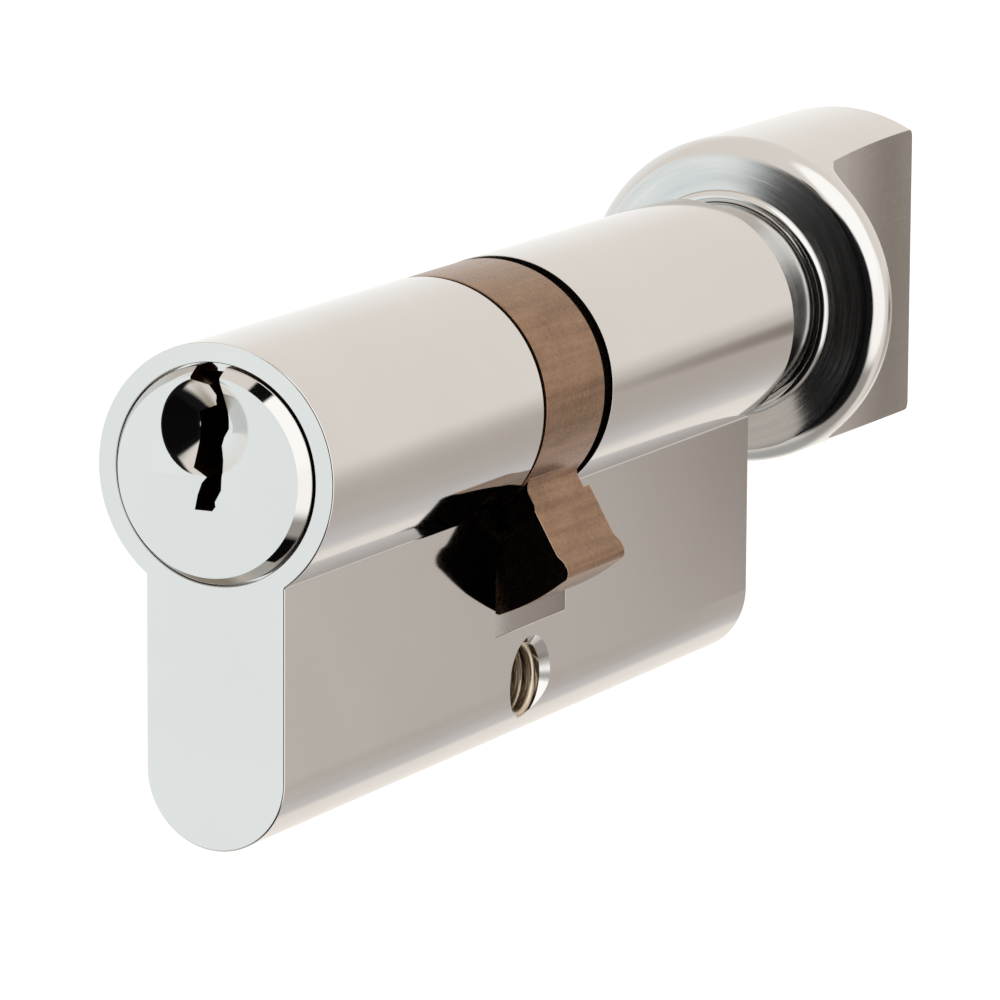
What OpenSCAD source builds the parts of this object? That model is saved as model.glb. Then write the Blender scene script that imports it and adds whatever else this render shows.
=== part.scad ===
// Euro-profile lock cylinder, key on one side and thumbturn on the other.
// Millimetres. Origin: barrel axis at mid-length, over the fixing screw hole.
// +Y runs from the key side to the thumbturn, +Z from the leg to the barrel.

/* [Body] */
// Length of the key side, from the middle to its face
key_side_l = 35; // [35:5:60]
// Length of the thumbturn side, from the middle to its face
turn_side_l = 35; // [35:5:60]
// Radius of the barrel
barrel_r = 8.5; // [8.45:0.05:8.6]
// Width of the leg
leg_w = 10; // [9.8:0.1:10.2]
// Height of the profile, from the barrel's top to the leg's bottom
profile_h = 33; // [32.8:0.1:33.2]
// Radius of the bore for the plug and the spindle
bore_r = 6.55; // [6.53:0.01:6.58]
// Chamfer on the outer edges
edge = 0.2; // [0.1:0.05:0.4]
// Radius of the hollow corner where the barrel meets the leg
neck_r = 0.2; // [0.1:0.1:0.8]

/* [Cam slot] */
// Width of the slot for the cam
slot_w = 10.5; // [10.5:0.1:10.7]
// Height of the slot's floor, below the barrel axis
slot_floor = 15.6; // [15.5:0.1:15.8]

/* [Fixing screw] */
// Height of the screw axis, below the barrel axis
screw_drop = 19.5; // [19.3:0.1:19.7]
// Radius of the tapped hole at the root of its thread
screw_r = 2.5; // [2.5:0.1:2.6]
// Radius of the countersink at the leg's face
sink_r = 3.05; // [3:0.05:3.5]

/* [Key plug] */
// Radius of the plug
plug_r = 6.5; // [6.48:0.01:6.52]
// Radius of the plug's head
head_r = 7.05; // [7:0.05:7.15]
// How far the head stands out of the body
head_proud = 1; // [0.5:0.1:1.2]
// Depth of the guide hollow around the keyway
guide_depth = 1.25; // [1:0.05:1.6]

/* [Pins] */
// Number of pins
pin_n = 5; // [5]
// Distance from the body's face to the first pin
pin_first = 6; // [6:0.5:7]
// Distance between two pins
pin_pitch = 4; // [3.8:0.1:4]
// Radius of the pin chambers
chamber_r = 1.5; // [1.45:0.05:1.55]
// Radial clearance of a pin in its chamber
pin_clear = 0.06; // [0.05:0.01:0.1]
// Length of the driver pins
driver_l = 5; // [4.5:0.1:5.5]
// Lengths of the key pins, from the face to the middle
key_pin_l = [5.9, 4.6, 5.4, 4.2, 5.0]; // [4:0.1:6]

/* [Cam] */
// Angle of the lever from straight down, towards +X
lever_angle = 30; // [0:5:30]
// Radius of the lever's tip
lever_r = 15; // [14.5:0.1:15.2]
// Radius of the cam's ring
cam_r = 8.45; // [8.4:0.05:8.45]
// Radius of the cam's bore
cam_bore_r = 6.6; // [6.58:0.01:6.65]

/* [Thumbturn] */
// Radius of the knob
knob_r = 12; // [11:0.5:13]
// Thickness of the finger blade
blade_t = 11.2; // [9:0.2:12]
// Distance from the body's face to the knob's end
knob_out = 27.4; // [24:0.2:30]
// Thickness of the knob's disc at its rim
disc_t = 2.55; // [2.2:0.05:3.4]
// Radius of the corner between the disc and the blade
blade_fillet = 2.4; // [1:0.2:3]
// Radius of the spindle's collar
collar_r = 7.5; // [7.2:0.1:7.8]

/* [Hidden] */
$fn = 96;
key_face = -key_side_l;
turn_face = turn_side_l;
leg_bottom = barrel_r - profile_h;
round_z = leg_bottom + leg_w / 2;
slot_y = slot_w / 2;
over = 0.1;                    // how far a cut runs past a face

head_bore_r = 7.2;
head_depth = 0.8;
head_rise = 0.12;               // straight part of the head that stands proud
plug_tail_y = -1.2;            // rear end of the plug, inside the cam
clutch_bore_r = 3.1;
clutch_bore_y = -10;
clutch_slot_y = -3.4;
cross_w = 3;                   // width of the clutch's and the spindle's cross bars
cross_clear = 0.15;
cross_half_l = 6.3;

cam_front = -4.7;
cam_back = 4.2;
web_front = -1;
web_back = 1.2;
web_r = 5.2;

ring_t = 0.9;                  // retaining rings
ring_gap = 0.05;
ring_in_r = 5.95;
ring_out_r = 7.4;
groove_r = 5.85;

pin_r = chamber_r - pin_clear;
pin_end = 0.35;                // chamfer at the ends of a pin
key_pin_foot = -plug_r + 0.08;
driver_top = -bore_r - 0.03;
chamber_stop = 2;              // height where a chamber in the plug ends
chamber_plug_l = 2;
chamber_plug_z = leg_bottom + 0.3;
plug_press = 0.01;             // interference of a pressed chamber plug
wire_r = 0.17;
coil_r = 1.1;
coil_turns = 8;

collar_gap = 0.15;
dish_root = 7;                 // distances from the body's face
lip_root = 6.4;                // the disc falls away from the lip towards its rim
dish_rim = 6.85;
lip_r = 7.75;                  // crown of the lip round the collar
lip_round = 0.6;
rim_round = 1.9;
shaft_r = 4;
shaft_l = 14;
grub_y = turn_face + dish_rim + 10;
grub_r = 2;
grub_seat = 0.8;               // depth of the grub screw's seat in the shaft

pin_y = [for (i = [0:pin_n - 1]) key_face + pin_first + i * pin_pitch];

pin_nodes = ["key_pin", "driver_pin", "pin_spring", "chamber_plug"];

nickel = [0.80, 0.79, 0.77];
brass = [0.80, 0.64, 0.36];
sinter = [0.52, 0.38, 0.28];
steel = [0.62, 0.63, 0.65];

// A cylinder or cone along Y, from y0 to y1
module along_y(y0, y1, r0, r1 = undef) {
    translate([0, y0, 0])
        rotate([-90, 0, 0])
            cylinder(h = y1 - y0, r1 = r0, r2 = is_undef(r1) ? r0 : r1);
}

// A cylinder or cone along Z, from z0 to z1, at the place y
module upright(y, z0, z1, r0, r1 = undef) {
    translate([0, y, z0])
        cylinder(h = z1 - z0, r1 = r0, r2 = is_undef(r1) ? r0 : r1, $fn = 48);
}

// A round bar along Y with a chamfer at each end
module chamfered_bar(y0, y1, r) {
    along_y(y0 + edge, y1 - edge, r);
    along_y(y0, y0 + edge, r - edge, r);
    along_y(y1 - edge, y1, r, r - edge);
}

// A stretch of the leg from y0 to y1, with chamfered upright edges
module leg_block(y0, y1, z0, z1) {
    half_w = leg_w / 2;
    translate([0, 0, z0])
        linear_extrude(z1 - z0)
            polygon([[-half_w + edge, y0], [half_w - edge, y0], [half_w, y0 + edge],
                     [half_w, y1 - edge], [half_w - edge, y1], [-half_w + edge, y1],
                     [-half_w, y1 - edge], [-half_w, y0 + edge]]);
}

// The hollow corner between barrel and leg, on the +X side
module neck_corner(y0, y1) {
    cx = leg_w / 2 + neck_r;
    cz = -sqrt(pow(barrel_r + neck_r, 2) - cx * cx);
    last = atan2(-cz, -cx);
    steps = 6;
    arc = [for (i = [0:steps]) let (a = 180 + (last - 180) * i / steps)
           [cx + neck_r * cos(a), cz + neck_r * sin(a)]];
    translate([0, y1, 0])
        rotate([90, 0, 0])
            linear_extrude(y1 - y0)
                polygon(concat([[leg_w / 2 - 0.4, cz + 1], [leg_w / 2 - 0.4, cz]], arc));
}

module neck(y0, y1) {
    neck_corner(y0 + edge, y1 - edge);
    mirror([1, 0, 0]) neck_corner(y0 + edge, y1 - edge);
}

module body() {
    color(nickel)
    difference() {
        union() {
            chamfered_bar(key_face, -slot_y, barrel_r);
            chamfered_bar(slot_y, turn_face, barrel_r);
            neck(key_face, -slot_y);
            neck(slot_y, turn_face);
            leg_block(key_face, -slot_y, -slot_floor, 0);
            leg_block(slot_y, turn_face, -slot_floor, 0);
            leg_block(key_face, turn_face, round_z, -slot_floor);
            translate([0, 0, round_z]) chamfered_bar(key_face, turn_face, leg_w / 2);
        }
        along_y(key_face - over, -slot_y + over, bore_r);
        along_y(key_face - over, key_face + head_depth, head_bore_r);
        along_y(slot_y - over, turn_face + over, bore_r);
        for (y = pin_y) upright(y, leg_bottom - over, -bore_r + 1, chamber_r);
        fixing_hole();
    }
}

// Cross hole for the fixing screw, countersunk on both faces of the leg
module fixing_hole() {
    translate([0, 0, -screw_drop])
        rotate([0, 90, 0]) {
            cylinder(h = leg_w + 2 * over, r = screw_r, center = true);
            for (side = [0, 1])
                mirror([0, 0, side])
                    translate([0, 0, leg_w / 2 - (sink_r - screw_r)])
                        cylinder(h = sink_r - screw_r + over, r1 = screw_r, r2 = sink_r + over);
        }
}

// Keyway section, seen from the key side: x to the right, z up
module keyway_section() {
    polygon([[-0.9, -2.15], [0.35, -2.15], [0.6, -1.85], [0.55, -1.55], [1.0, -0.75],
             [1.05, 0.4], [0.85, 1.1], [0.45, 1.9], [0.55, 2.4], [0.9, 3.0], [0.9, 7.5],
             [-1.2, 7.5], [-1.2, 6.2], [0.0, 5.9], [0.3, 5.2], [0.1, 4.5], [-1.15, 4.0],
             [-1.1, 0.5], [-0.05, 0.0], [-0.4, -0.4], [-0.7, -1.2]]);
}

module key_plug() {
    front = key_face - head_proud;
    groove_y = -slot_y + ring_gap;
    color(nickel)
    difference() {
        union() {
            along_y(key_face + head_depth - ring_gap, plug_tail_y, plug_r);
            along_y(key_face - head_rise, key_face + head_depth - ring_gap, head_r);
            along_y(front, key_face - head_rise, head_r - 0.55, head_r);
        }
        translate([0, clutch_bore_y + over, 0])
            rotate([90, 0, 0])
                linear_extrude(clutch_bore_y - front + 2 * over) keyway_section();
        translate([-0.1, front - over, 3.15])
            rotate([-90, 0, 0])
                cylinder(h = guide_depth + over, r1 = 3.2, r2 = 1.2, $fn = 64);
        for (y = pin_y) upright(y, -plug_r - over, chamber_stop, chamber_r);
        along_y(clutch_bore_y, plug_tail_y + over, clutch_bore_r);
        translate([-plug_r - over, clutch_slot_y, -(cross_w + cross_clear) / 2])
            cube([2 * (plug_r + over), plug_tail_y - clutch_slot_y + over, cross_w + cross_clear]);
        ring_groove(groove_y - ring_gap / 2);
    }
}

// Groove for a retaining ring, starting at y0
module ring_groove(y0) {
    difference() {
        along_y(y0, y0 + ring_t + ring_gap, plug_r + 0.5);
        along_y(y0 - over, y0 + ring_t + ring_gap + over, groove_r);
    }
}

// Open retaining ring starting at y0, its gap at the top
module retaining_ring(y0) {
    gap_angle = 50;
    color(steel)
        translate([0, y0 + ring_t, 0])
            rotate([90, 0, 0])
                rotate([0, 0, 90 + gap_angle / 2])
                    rotate_extrude(angle = 360 - gap_angle)
                        translate([ring_in_r, 0]) square([ring_out_r - ring_in_r, ring_t]);
}

module key_ring() { retaining_ring(-slot_y + ring_gap); }

module turn_ring() { retaining_ring(slot_y - ring_gap - ring_t); }

// Sliding coupling piece: the key's tip pushes it into the cam
module clutch() {
    slug_front = -9.8;
    slug_back = -1.4;
    bar_front = -3.2;
    bar_l = 1.5;
    color(steel)
    difference() {
        union() {
            along_y(slug_front, slug_back, clutch_bore_r - 0.08);
            translate([-cross_half_l, bar_front, -cross_w / 2])
                cube([2 * cross_half_l, bar_l, cross_w]);
        }
        along_y(-6, slug_back + over, 1.9);
    }
}

// Cam: a ring with one lever, a web inside with the slot for both cross bars
module cam() {
    color(sinter)
    difference() {
        union() {
            along_y(cam_front, cam_back, cam_r);
            rotate([0, -lever_angle, 0]) lever();
        }
        along_y(cam_front - over, web_front, cam_bore_r);
        along_y(web_back, cam_back + over, cam_bore_r);
        along_y(cam_front, cam_back, web_r);
        along_y(cam_front - over, cam_front + 0.6, ring_out_r + 0.2);
        translate([-cam_bore_r, web_front - over, -(cross_w + cross_clear) / 2])
            cube([2 * cam_bore_r, web_back - web_front + 2 * over, cross_w + cross_clear]);
    }
}

// The lever's outline, pointing down: a hollow corner at the ring, a small swell at its tip
function lever_outline() =
    let (half_w = 3.05, swell = 0.25, tip = lever_r, hollow = 1, steps = 5,
         cx = half_w + hollow, cy = -sqrt(pow(cam_r + hollow, 2) - cx * cx), first = atan2(-cy, -cx))
    concat([[cx - hollow, -5]],
    [for (i = [0:steps]) let (a = first + (180 - first) * i / steps) [cx + hollow * cos(a), cy + hollow * sin(a)]],
    [[half_w, -tip + 2], [half_w + 0.8 * swell, -tip + 1.4],
     [half_w + swell, -tip + 0.95], [half_w, -tip + 0.5], [half_w - 0.45, -tip + 0.23],
     [half_w / 2, -tip + 0.07], [0, -tip]]);

// The lever's plate, thinner at its neck, where it clears the slot's walls
module lever() {
    neck_end_r = 10.2;
    front_step = 0.5;
    back_step = 0.9;
    right = lever_outline();
    count = len(right);
    left = [for (i = [count - 2:-1:0]) [-right[i][0], right[i][1]]];
    difference() {
        translate([0, cam_back, 0])
            rotate([90, 0, 0])
                linear_extrude(cam_back - cam_front) polygon(concat(right, left));
        along_y(cam_front - over, cam_front + front_step, neck_end_r);
        along_y(cam_back - back_step, cam_back + over, neck_end_r);
    }
}

// Spindle of the thumbturn: collar, shaft for the knob, tail with the cross bar
module turn_spindle() {
    tail = web_back + 0.1;
    collar_end = turn_face + dish_root - 0.1;
    color(nickel)
    difference() {
        union() {
            along_y(tail, turn_face + collar_gap, plug_r);
            along_y(turn_face + collar_gap, collar_end, collar_r);
            along_y(collar_end - over, collar_end + shaft_l, shaft_r);
            translate([-cross_half_l, 0.2, -cross_w / 2])
                cube([2 * cross_half_l, tail - 0.2 + over, cross_w]);
        }
        ring_groove(slot_y - ring_gap * 1.5 - ring_t);
        upright(grub_y, -shaft_r - 1, -shaft_r + grub_seat, grub_r + 0.1);
    }
}

// Outline of the knob turned about its axis: distance from the axis, distance from the face
function knob_section() =
    let (steps = 8, rim_in = knob_r - rim_round)
    concat(
        [[collar_r + 0.05, dish_root], [collar_r + 0.05, lip_root - lip_round + 0.05]],
        [for (i = [0:steps]) let (a = 90 - 90 * i / steps)
         [lip_r + lip_round * cos(a), lip_root - lip_round * sin(a)]],
        [for (i = [0:steps]) let (a = 77 - 77 * i / steps)
         [rim_in + rim_round * cos(a), dish_rim + rim_round - rim_round * sin(a)]],
        [[knob_r, knob_out - edge], [knob_r - edge, knob_out], [0, knob_out], [0, dish_root]]);

module knob() {
    blade_half = blade_t / 2;
    disc_back = turn_face + dish_rim + disc_t;
    end = turn_face + knob_out;
    color(nickel)
    difference() {
        translate([0, turn_face, 0])
            rotate([-90, 0, 0])
                rotate_extrude() polygon(knob_section());
        for (side = [0, 1]) mirror([side, 0, 0]) finger_hollow(blade_half, disc_back, end);
        along_y(turn_face + dish_root - 1, turn_face + dish_root + shaft_l + 0.4, shaft_r + 0.05);
        upright(grub_y, -knob_r - over, -shaft_r + 2, grub_r + 0.05);
    }
}

// What is cut away beside the blade, with a rounded corner at the disc
module finger_hollow(blade_half, disc_back, end) {
    far = knob_r + 1;
    steps = 8;
    arc = [for (i = [0:steps]) let (a = 270 - 90 * i / steps)
           [blade_half + blade_fillet + blade_fillet * cos(a),
            disc_back + blade_fillet + blade_fillet * sin(a)]];
    translate([0, 0, -far])
        linear_extrude(2 * far)
            polygon(concat([[far, end + 1], [far, disc_back]], arc, [[blade_half, end + 1]]));
}

module grub_screw() {
    top = -shaft_r + grub_seat - 0.05;
    foot = -knob_r + 0.8;
    color(steel)
    difference() {
        upright(grub_y, foot, top, grub_r);
        translate([0, grub_y, foot - over]) cylinder(h = 2, r = 1.15, $fn = 6);
    }
}

module key_pin(i) {
    y = pin_y[i];
    tip = key_pin_foot + key_pin_l[i];
    color(brass) {
        upright(y, key_pin_foot, key_pin_foot + pin_end, pin_r - 0.5, pin_r);
        upright(y, key_pin_foot + pin_end, tip - 1, pin_r);
        upright(y, tip - 1, tip, pin_r, 0.45);
    }
}

module driver_pin(i) {
    y = pin_y[i];
    foot = driver_top - driver_l;
    color(steel) {
        upright(y, foot, foot + pin_end, pin_r - pin_end, pin_r);
        upright(y, foot + pin_end, driver_top - pin_end, pin_r);
        upright(y, driver_top - pin_end, driver_top, pin_r, pin_r - pin_end);
    }
}

module chamber_plug(i) {
    color(brass) upright(pin_y[i], chamber_plug_z, chamber_plug_z + chamber_plug_l, chamber_r + plug_press);
}

module pin_spring(i) {
    z0 = chamber_plug_z + chamber_plug_l + wire_r + 0.02;
    z1 = driver_top - driver_l - wire_r - 0.02;
    color(steel) translate([0, pin_y[i], z0]) coil_spring(z1 - z0, coil_r, coil_turns);
}

module clutch_spring() {
    y0 = -6 + wire_r + 0.02;
    y1 = 0.2 - wire_r - 0.02;
    color(steel) translate([0, y0, 0]) rotate([-90, 0, 0]) coil_spring(y1 - y0, 1.5, 6);
}

// A round wire wound into a helix along +Z, as a swept skin with closed ends
module coil_spring(h, r, turns) {
    sides = 6;
    per_turn = 12;
    rings = turns * per_turn;
    points = [for (i = [0:rings], k = [0:sides - 1])
              let (a = 360 * i / per_turn, s = 360 * k / sides, out = r + wire_r * cos(s))
              [out * cos(a), out * sin(a), h * i / rings + wire_r * sin(s)]];
    walls = [for (i = [0:rings - 1], k = [0:sides - 1])
             let (n = (k + 1) % sides)
             [i * sides + k, (i + 1) * sides + k, (i + 1) * sides + n, i * sides + n]];
    first = [for (k = [0:sides - 1]) k];
    last = [for (k = [sides - 1:-1:0]) rings * sides + k];
    polyhedron(points, concat(walls, [first, last]), convexity = 4);
}

body();
key_plug();
key_ring();
clutch();
clutch_spring();
cam();
turn_spindle();
turn_ring();
knob();
grub_screw();
for (i = [0:pin_n - 1]) {
    key_pin(i);
    driver_pin(i);
    pin_spring(i);
    chamber_plug(i);
}
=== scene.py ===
import math
import bmesh
import bpy
from mathutils import Matrix, Vector


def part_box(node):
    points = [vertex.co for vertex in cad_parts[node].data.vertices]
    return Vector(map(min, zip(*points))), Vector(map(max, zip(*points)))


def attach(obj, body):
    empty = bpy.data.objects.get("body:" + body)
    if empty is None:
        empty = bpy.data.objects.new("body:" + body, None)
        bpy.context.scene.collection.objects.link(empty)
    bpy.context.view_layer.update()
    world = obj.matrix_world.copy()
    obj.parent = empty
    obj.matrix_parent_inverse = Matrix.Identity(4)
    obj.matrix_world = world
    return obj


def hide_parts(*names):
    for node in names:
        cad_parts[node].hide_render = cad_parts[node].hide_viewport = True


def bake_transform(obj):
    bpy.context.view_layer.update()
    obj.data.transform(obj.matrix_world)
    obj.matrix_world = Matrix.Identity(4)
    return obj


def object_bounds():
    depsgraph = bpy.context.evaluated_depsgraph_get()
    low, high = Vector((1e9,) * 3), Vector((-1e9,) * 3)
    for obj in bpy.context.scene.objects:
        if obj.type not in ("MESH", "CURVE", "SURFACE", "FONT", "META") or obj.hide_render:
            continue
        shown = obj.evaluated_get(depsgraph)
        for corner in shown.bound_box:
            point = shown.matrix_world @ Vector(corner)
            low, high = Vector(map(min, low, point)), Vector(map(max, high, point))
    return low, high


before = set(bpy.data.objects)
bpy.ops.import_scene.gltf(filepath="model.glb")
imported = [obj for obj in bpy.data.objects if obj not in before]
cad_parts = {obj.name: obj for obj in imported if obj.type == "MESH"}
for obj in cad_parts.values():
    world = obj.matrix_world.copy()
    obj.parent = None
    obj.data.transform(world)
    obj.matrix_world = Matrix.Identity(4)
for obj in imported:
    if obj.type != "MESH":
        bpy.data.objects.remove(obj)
cadLow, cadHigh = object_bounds()
toMm = 1000.0
print("frame loaded")


# ---- small tools: pieces are drawn in millimetres and scaled to metres when they are finished

def boxMm(node):
    low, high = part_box(node)
    return low * toMm, high * toMm


def newPiece(name, verts, faces):
    mesh = bpy.data.meshes.new(name)
    mesh.from_pydata(verts, [], faces)
    work = bmesh.new()
    work.from_mesh(mesh)
    bmesh.ops.recalc_face_normals(work, faces=work.faces)
    work.to_mesh(mesh)
    work.free()
    piece = bpy.data.objects.new(name, mesh)
    bpy.context.scene.collection.objects.link(piece)
    return piece


def arc(centreU, centreV, radius, start, end, steps):
    turn = (end - start) / steps
    angles = [math.radians(start + turn * i) for i in range(steps + 1)]
    return [(centreU + radius * math.cos(a), centreV + radius * math.sin(a)) for a in angles]


def turned(name, section, segments=160):
    # section: (distance from the Y axis, y) round a closed outline
    verts, rings = [], []
    for radius, y in section:
        first = len(verts)
        if radius < 1e-6:
            verts.append((0, y, 0))
            rings.append([first])
            continue
        for k in range(segments):
            a = 2 * math.pi * k / segments
            verts.append((radius * math.cos(a), y, radius * math.sin(a)))
        rings.append(list(range(first, first + segments)))
    faces = []
    for a, b in zip(rings, rings[1:] + rings[:1]):
        if len(a) == 1 and len(b) == 1:
            continue
        for k in range(segments):
            n = (k + 1) % segments
            corners = [a[k % len(a)], a[n % len(a)], b[n % len(b)], b[k % len(b)]]
            faces.append(list(dict.fromkeys(corners)))
    return newPiece(name, verts, faces)


def extruded(name, outline, low, high, along="Y"):
    place = {"Y": lambda u, v, w: (u, w, v), "Z": lambda u, v, w: (u, v, w)}[along]
    count = len(outline)
    verts = [place(u, v, w) for w in (low, high) for u, v in outline]
    faces = [list(range(count)), list(range(2 * count - 1, count - 1, -1))]
    faces += [[i, (i + 1) % count, (i + 1) % count + count, i + count] for i in range(count)]
    return newPiece(name, verts, faces)


def block(name, low, high):
    outline = [(low[0], low[1]), (high[0], low[1]), (high[0], high[1]), (low[0], high[1])]
    return extruded(name, outline, low[2], high[2], "Z")


def turnAndMove(piece, axis, angle, offset=(0, 0, 0)):
    piece.data.transform(Matrix.Translation(offset) @ Matrix.Rotation(math.radians(angle), 4, axis))
    return piece


def standing(name, section, x, y):
    # a turned shape whose section runs down from the origin's level, at the place x, y
    return turnAndMove(turned(name, section, 64), "X", -90, (x, y, 0))


def bakeModifiers(piece):
    graph = bpy.context.evaluated_depsgraph_get()
    made = bpy.data.meshes.new_from_object(
        piece.evaluated_get(graph), preserve_all_data_layers=True, depsgraph=graph)
    spent = piece.data
    piece.modifiers.clear()
    piece.data = made
    bpy.data.meshes.remove(spent)
    made.name = piece.name


def combine(piece, tools, operation="DIFFERENCE"):
    for tool in tools:
        step = piece.modifiers.new("combine", "BOOLEAN")
        step.operation = operation
        step.solver = "EXACT"
        step.object = tool
        bakeModifiers(piece)
        bpy.data.objects.remove(tool)
    return piece


def breakEdges(piece, width, segments=3, sharpest=38.0, where=None):
    # rounds the outward edges, and marks the rounded faces for the materials, which lighten them partly as
    # rubbed wear and partly as a painted highlight
    work = bmesh.new()
    work.from_mesh(piece.data)
    bmesh.ops.remove_doubles(work, verts=work.verts, dist=0.0005)
    rubbedAndLit = work.faces.layers.float.get("rubbedAndLit") or work.faces.layers.float.new("rubbedAndLit")
    chosen = [e for e in work.edges
              if e.is_manifold and e.calc_face_angle_signed(0) > math.radians(sharpest)
              and (where is None or where((e.verts[0].co + e.verts[1].co) / 2))]
    made = bmesh.ops.bevel(work, geom=chosen, offset=width, segments=segments, profile=0.5,
                           affect="EDGES", clamp_overlap=True, loop_slide=True)
    for face in made["faces"]:
        face[rubbedAndLit] = 1.0
    work.to_mesh(piece.data)
    work.free()
    return piece


def markFaces(piece, name, test, amount=1.0):
    # a value for each face, that a material reads to change the finish there
    mesh = piece.data
    layer = mesh.attributes.get(name) or mesh.attributes.new(name, "FLOAT", "FACE")
    for face in mesh.polygons:
        if test(face.center, face.normal):
            layer.data[face.index].value = amount


def finishPiece(piece, material, sharpAngle=34.0):
    mesh = piece.data
    mesh.transform(Matrix.Scale(1 / toMm, 4))
    mesh.materials.clear()
    mesh.materials.append(material)
    mesh.polygons.foreach_set("material_index", [0] * len(mesh.polygons))
    mesh.shade_smooth()
    mesh.set_sharp_from_angle(angle=math.radians(sharpAngle))
    even = piece.modifiers.new("even", "WEIGHTED_NORMAL")
    even.keep_sharp = True
    even.weight = 60
    bakeModifiers(piece)
    return piece


# ---- shader groups shared by the metals

def groupWith(name, inputs, outputs):
    tree = bpy.data.node_groups.new(name, "ShaderNodeTree")
    for label, value in inputs:
        made = tree.interface.new_socket(
            name=label, in_out="INPUT",
            socket_type="NodeSocketVector" if label == "Position" else "NodeSocketFloat")
        if label != "Position":
            made.default_value = value
    for label in outputs:
        tree.interface.new_socket(name=label, in_out="OUTPUT", socket_type="NodeSocketFloat")
    return tree, tree.nodes.new("NodeGroupInput"), tree.nodes.new("NodeGroupOutput")


def math2(tree, operation, a, b=None, c=None, clamp=False):
    node = tree.nodes.new("ShaderNodeMath")
    node.operation = operation
    node.use_clamp = clamp
    for socket, value in zip(node.inputs, (a, b, c)):
        if value is None:
            continue
        if isinstance(value, (int, float)):
            socket.default_value = value
        else:
            tree.links.new(value, socket)
    return node.outputs[0]


def noise(tree, position, scale, detail=3.0, rough=0.55, stretch=None):
    if stretch is not None:
        shape = tree.nodes.new("ShaderNodeMapping")
        shape.inputs["Scale"].default_value = stretch
        tree.links.new(position, shape.inputs["Vector"])
        position = shape.outputs[0]
    node = tree.nodes.new("ShaderNodeTexNoise")
    node.inputs["Detail"].default_value = detail
    node.inputs["Roughness"].default_value = rough
    tree.links.new(position, node.inputs["Vector"])
    if isinstance(scale, (int, float)):
        node.inputs["Scale"].default_value = scale
    else:
        tree.links.new(scale, node.inputs["Scale"])
    return node.outputs["Fac"]


def makeAroundAxis():
    # turns a position into (distance from the Y axis, y, angle), so lines can follow a turned shape
    tree, enter, leave = groupWith("aroundAxis", [("Position", None)], [])
    tree.interface.new_socket(name="Around", in_out="OUTPUT", socket_type="NodeSocketVector")
    parts = tree.nodes.new("ShaderNodeSeparateXYZ")
    tree.links.new(enter.outputs["Position"], parts.inputs[0])
    x, y, z = parts.outputs
    distance = math2(tree, "SQRT", math2(tree, "ADD", math2(tree, "MULTIPLY", x, x),
                                         math2(tree, "MULTIPLY", z, z)))
    angle = math2(tree, "ARCTAN2", z, x)
    join = tree.nodes.new("ShaderNodeCombineXYZ")
    for value, socket in zip((distance, y, math2(tree, "MULTIPLY", angle, 0.002)), join.inputs):
        tree.links.new(value, socket)
    tree.links.new(join.outputs[0], leave.inputs["Around"])
    return tree


def makePolish():
    # fine polishing lines, broad hazy patches and a few hairline marks
    tree, enter, leave = groupWith(
        "polish", [("Position", None), ("Base Roughness", 0.1), ("Haze", 0.05), ("Lines", 0.04)],
        ["Roughness", "Height", "Tone"])
    position = enter.outputs["Position"]
    haze = noise(tree, position, 90.0, 4.0)
    lines = noise(tree, position, 900.0, 4.0, 0.6, stretch=(3.0, 12.0, 1.0))
    hairs = noise(tree, position, 500.0, 2.0, 0.5, stretch=(20.0, 0.6, 0.6))
    hairMask = math2(tree, "MULTIPLY", math2(tree, "SUBTRACT", hairs, 0.66, clamp=True), 4.0, clamp=True)
    hazePatches = math2(tree, "SUBTRACT", haze, 0.35, clamp=True)
    hazeAmount = math2(tree, "MULTIPLY", hazePatches, enter.outputs["Haze"])
    lineAmount = math2(tree, "MULTIPLY", lines, enter.outputs["Lines"])
    rough = math2(tree, "ADD", enter.outputs["Base Roughness"], math2(tree, "ADD", hazeAmount, lineAmount))
    rough = math2(tree, "ADD", rough, math2(tree, "MULTIPLY", hairMask, 0.08))
    tree.links.new(rough, leave.inputs["Roughness"])
    height = math2(tree, "SUBTRACT", lines, math2(tree, "MULTIPLY", hairMask, 0.6))
    tree.links.new(height, leave.inputs["Height"])
    tree.links.new(haze, leave.inputs["Tone"])
    return tree


def makeEdgeWearAndHighlight():
    # how much a rounded edge is lightened, partly as rubbed wear and partly as a painted highlight, broken up
    # so that it isn't an even line
    tree, enter, leave = groupWith("edgeWearAndHighlight", [("Position", None), ("Wear", 0.6)], ["Mask"])
    mark = tree.nodes.new("ShaderNodeAttribute")
    mark.attribute_name = "rubbedAndLit"
    patchy = noise(tree, enter.outputs["Position"], 700.0, 3.0, 0.6)
    spread = math2(tree, "ADD", math2(tree, "MULTIPLY", patchy, 0.9), 0.35, clamp=True)
    wornAndLit = math2(tree, "MULTIPLY", mark.outputs["Fac"], spread)
    mask = math2(tree, "MULTIPLY", wornAndLit, enter.outputs["Wear"])
    tree.links.new(mask, leave.inputs["Mask"])
    return tree


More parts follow.
